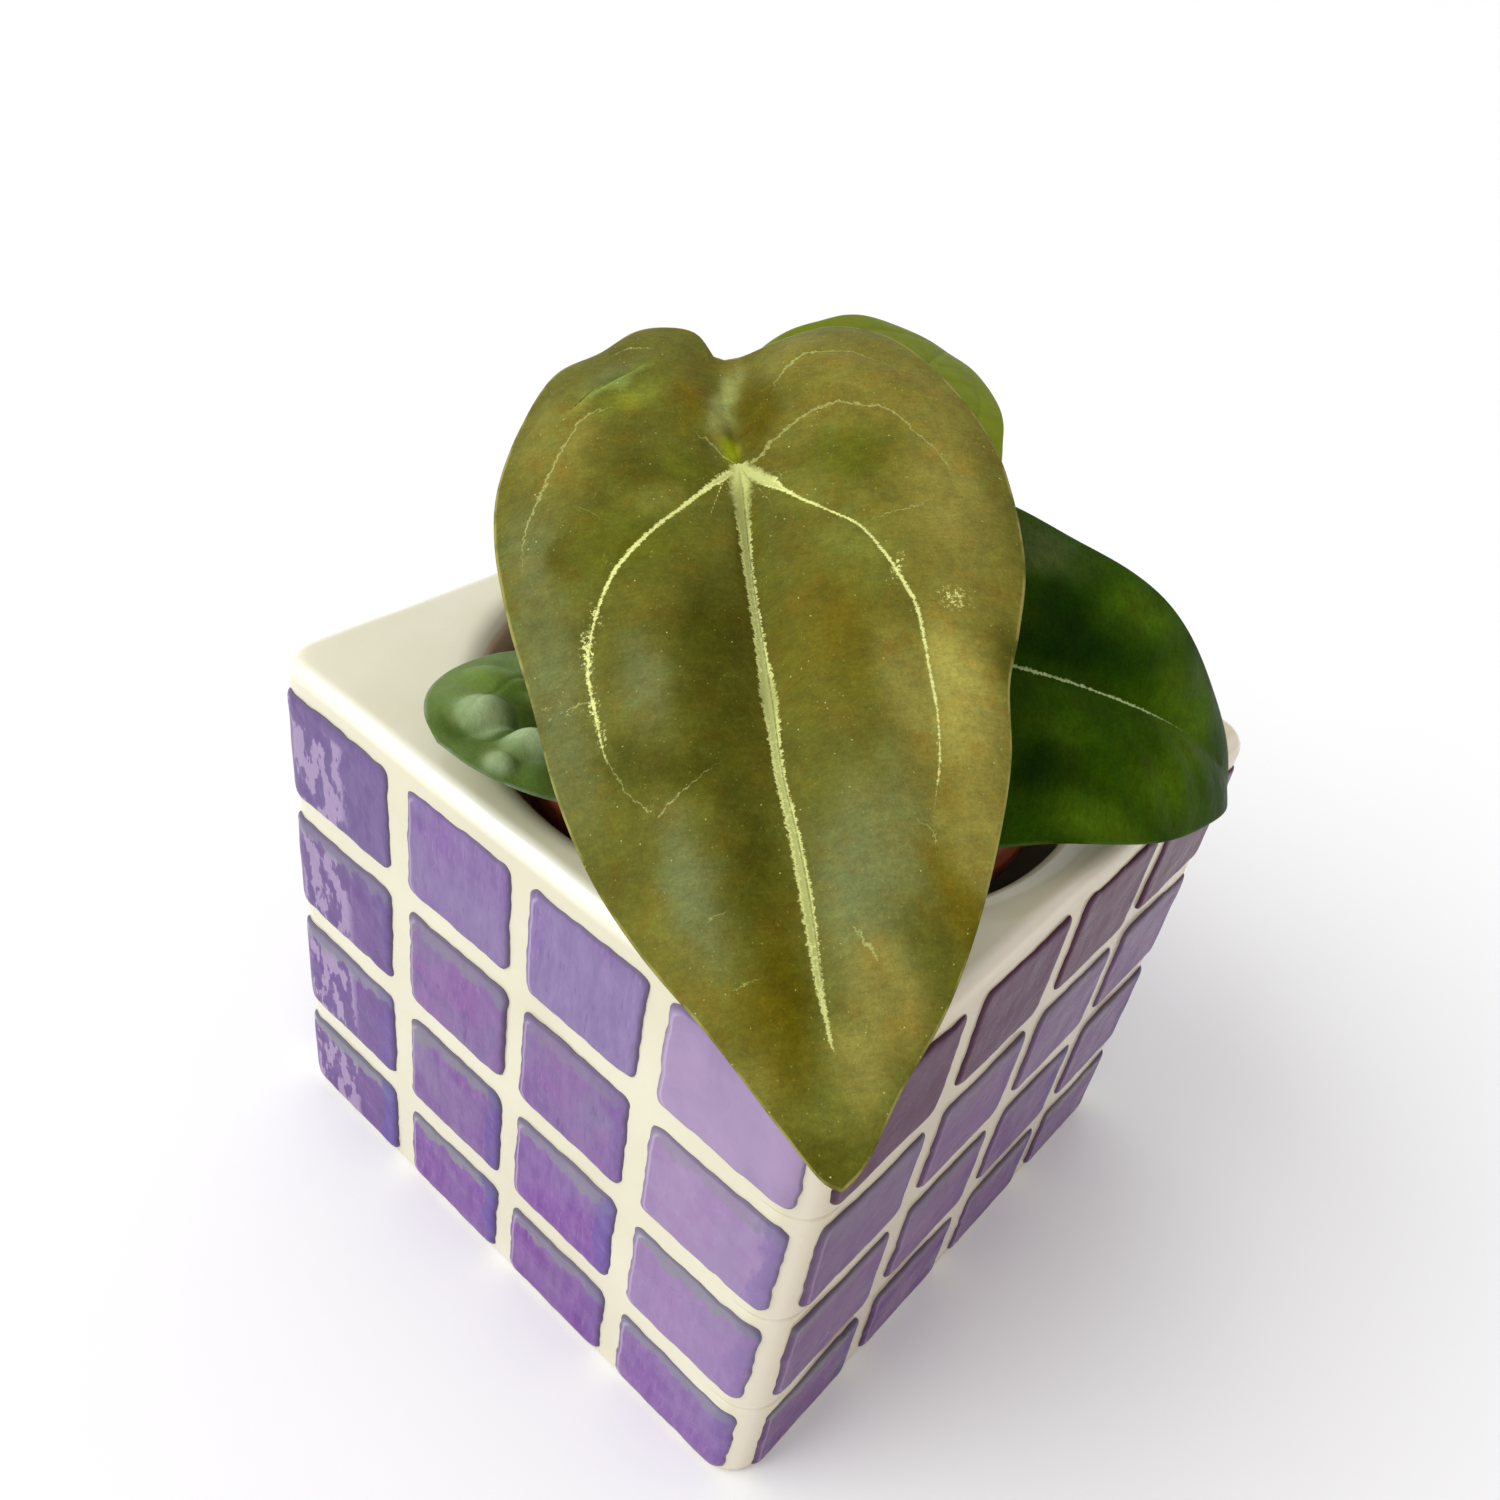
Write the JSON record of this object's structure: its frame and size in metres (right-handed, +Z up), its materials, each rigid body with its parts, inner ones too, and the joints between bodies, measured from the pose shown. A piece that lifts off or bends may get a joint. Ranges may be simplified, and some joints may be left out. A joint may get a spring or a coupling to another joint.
{
  "type": "potted anthurium forgetii",
  "caption": "Young aroid with peltate heart-shaped blades on slender petioles, in a nursery pot inside a square ceramic cachepot with tiles in relief.",
  "frame": {"origin": "centre of the cachepot's flat base, on the surface it stands on", "axes": "+Z up; the cachepot's sides face +X, -X, +Y and -Y; the front leaf's tip points to the edge between +X and -Y"},
  "size_m": [0.0949, 0.1187, 0.1171],
  "materials": {
    "cream_glaze": "gloss",
    "violet_glaze": "gloss",
    "liner_plastic": "satin",
    "potting_mix": "matte",
    "stem": "matte",
    "petiole": "satin",
    "blade_olive": "satin",
    "blade_dark": "satin",
    "blade_light": "satin",
    "blade_young": "satin"
  },
  "bodies": {
    "root": {"pot": "cream_glaze", "nursery_pot": "liner_plastic", "potting_mix": "potting_mix", "stem": "stem", "petiole_front": "petiole", "petiole_right": "petiole", "petiole_back": "petiole", "petiole_left": "petiole", "leaf_front": "blade_olive", "leaf_right": "blade_dark", "leaf_back": "blade_light", "leaf_left": "blade_young"}
  },
  "joints": []
}
